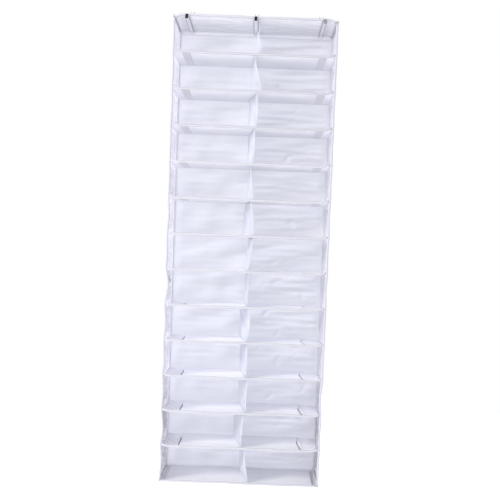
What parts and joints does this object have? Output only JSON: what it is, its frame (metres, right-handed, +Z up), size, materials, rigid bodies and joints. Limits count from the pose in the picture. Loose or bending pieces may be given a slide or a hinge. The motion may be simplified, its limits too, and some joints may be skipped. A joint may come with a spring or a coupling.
{
  "type": "hanging shoe organizer",
  "caption": "Tall over-door shoe organizer: open-front film box with boarded shelves in two columns, hung on bent steel straps with black tips, folding up like an accordion.",
  "frame": {"origin": "middle of the door's top edge: the centre of the underside of the middle strap's bridge", "axes": "+Z up, +X to the right seen from the front, +Y towards the door and its far side, so the open front faces -Y"},
  "size_m": [0.57, 0.2427, 1.6985],
  "materials": {
    "strap_steel": "bright plated strip",
    "tip_rubber": "matte",
    "white_film": "soft woven film",
    "clear_film": "glossy and crinkled",
    "divider_film": "soft",
    "binding_tape": "woven tape",
    "board": "grey paperboard"
  },
  "bodies": {
    "hooks": {"hook_left": "strap_steel", "hook_middle": "strap_steel", "hook_right": "strap_steel", "hook_tip_left": "tip_rubber", "hook_tip_middle": "tip_rubber", "hook_tip_right": "tip_rubber"},
    "organizer": {"top_sleeve": "white_film", "top_board": "board", "top_front_binding": "binding_tape", "top_back_binding": "binding_tape", "top_side_bindings": "binding_tape", "back_panel": "white_film", "left_side_panel": "clear_film", "right_side_panel": "clear_film", "centre_divider": "divider_film", "left_front_binding": "binding_tape", "right_front_binding": "binding_tape", "left_back_binding": "binding_tape", "right_back_binding": "binding_tape"},
    "shelf_01": {"shelf_sleeve_01": "white_film", "shelf_board_01": "board", "shelf_binding_01": "binding_tape"},
    "shelf_02": {"shelf_sleeve_02": "white_film", "shelf_board_02": "board", "shelf_binding_02": "binding_tape"},
    "shelf_03": {"shelf_sleeve_03": "white_film", "shelf_board_03": "board", "shelf_binding_03": "binding_tape"},
    "shelf_04": {"shelf_sleeve_04": "white_film", "shelf_board_04": "board", "shelf_binding_04": "binding_tape"},
    "shelf_05": {"shelf_sleeve_05": "white_film", "shelf_board_05": "board", "shelf_binding_05": "binding_tape"},
    "shelf_06": {"shelf_sleeve_06": "white_film", "shelf_board_06": "board", "shelf_binding_06": "binding_tape"},
    "shelf_07": {"shelf_sleeve_07": "white_film", "shelf_board_07": "board", "shelf_binding_07": "binding_tape"},
    "shelf_08": {"shelf_sleeve_08": "white_film", "shelf_board_08": "board", "shelf_binding_08": "binding_tape"},
    "shelf_09": {"shelf_sleeve_09": "white_film", "shelf_board_09": "board", "shelf_binding_09": "binding_tape"},
    "shelf_10": {"shelf_sleeve_10": "white_film", "shelf_board_10": "board", "shelf_binding_10": "binding_tape"},
    "shelf_11": {"shelf_sleeve_11": "white_film", "shelf_board_11": "board", "shelf_binding_11": "binding_tape"},
    "shelf_12": {"shelf_sleeve_12": "white_film", "shelf_board_12": "board", "shelf_binding_12": "binding_tape"},
    "shelf_13": {"shelf_sleeve_13": "white_film", "shelf_board_13": "board", "shelf_binding_13": "binding_tape", "bottom_back_binding": "binding_tape", "bottom_side_bindings": "binding_tape"}
  },
  "joints": [
    {"name": "lift_off", "type": "slide", "parent": "hooks", "child": "organizer", "axis": [0, 0, 1], "range_m": [0, 0.0055]},
    {"name": "fold", "type": "slide", "parent": "organizer", "child": "shelf_13", "axis": [0, 0, 1], "range_m": [0, 1.409], "deforming": ["back_panel", "left_side_panel", "right_side_panel", "left_front_binding", "right_front_binding", "left_back_binding", "right_back_binding", "centre_divider"]},
    {"name": "fold_01", "type": "slide", "parent": "organizer", "child": "shelf_01", "axis": [0, 0, 1], "range_m": [0, 0.101]},
    {"name": "fold_02", "type": "slide", "parent": "organizer", "child": "shelf_02", "axis": [0, 0, 1], "range_m": [0, 0.21]},
    {"name": "fold_03", "type": "slide", "parent": "organizer", "child": "shelf_03", "axis": [0, 0, 1], "range_m": [0, 0.319]},
    {"name": "fold_04", "type": "slide", "parent": "organizer", "child": "shelf_04", "axis": [0, 0, 1], "range_m": [0, 0.428]},
    {"name": "fold_05", "type": "slide", "parent": "organizer", "child": "shelf_05", "axis": [0, 0, 1], "range_m": [0, 0.537]},
    {"name": "fold_06", "type": "slide", "parent": "organizer", "child": "shelf_06", "axis": [0, 0, 1], "range_m": [0, 0.646]},
    {"name": "fold_07", "type": "slide", "parent": "organizer", "child": "shelf_07", "axis": [0, 0, 1], "range_m": [0, 0.755]},
    {"name": "fold_08", "type": "slide", "parent": "organizer", "child": "shelf_08", "axis": [0, 0, 1], "range_m": [0, 0.864]},
    {"name": "fold_09", "type": "slide", "parent": "organizer", "child": "shelf_09", "axis": [0, 0, 1], "range_m": [0, 0.973]},
    {"name": "fold_10", "type": "slide", "parent": "organizer", "child": "shelf_10", "axis": [0, 0, 1], "range_m": [0, 1.082]},
    {"name": "fold_11", "type": "slide", "parent": "organizer", "child": "shelf_11", "axis": [0, 0, 1], "range_m": [0, 1.191]},
    {"name": "fold_12", "type": "slide", "parent": "organizer", "child": "shelf_12", "axis": [0, 0, 1], "range_m": [0, 1.3]}
  ],
  "couplings": [
    {"joint": "fold_01", "follows": "fold", "ratio": 0.071682},
    {"joint": "fold_02", "follows": "fold", "ratio": 0.14904},
    {"joint": "fold_03", "follows": "fold", "ratio": 0.2264},
    {"joint": "fold_04", "follows": "fold", "ratio": 0.30376},
    {"joint": "fold_05", "follows": "fold", "ratio": 0.38112},
    {"joint": "fold_06", "follows": "fold", "ratio": 0.45848},
    {"joint": "fold_07", "follows": "fold", "ratio": 0.53584},
    {"joint": "fold_08", "follows": "fold", "ratio": 0.6132},
    {"joint": "fold_09", "follows": "fold", "ratio": 0.69056},
    {"joint": "fold_10", "follows": "fold", "ratio": 0.76792},
    {"joint": "fold_11", "follows": "fold", "ratio": 0.84528},
    {"joint": "fold_12", "follows": "fold", "ratio": 0.92264}
  ]
}
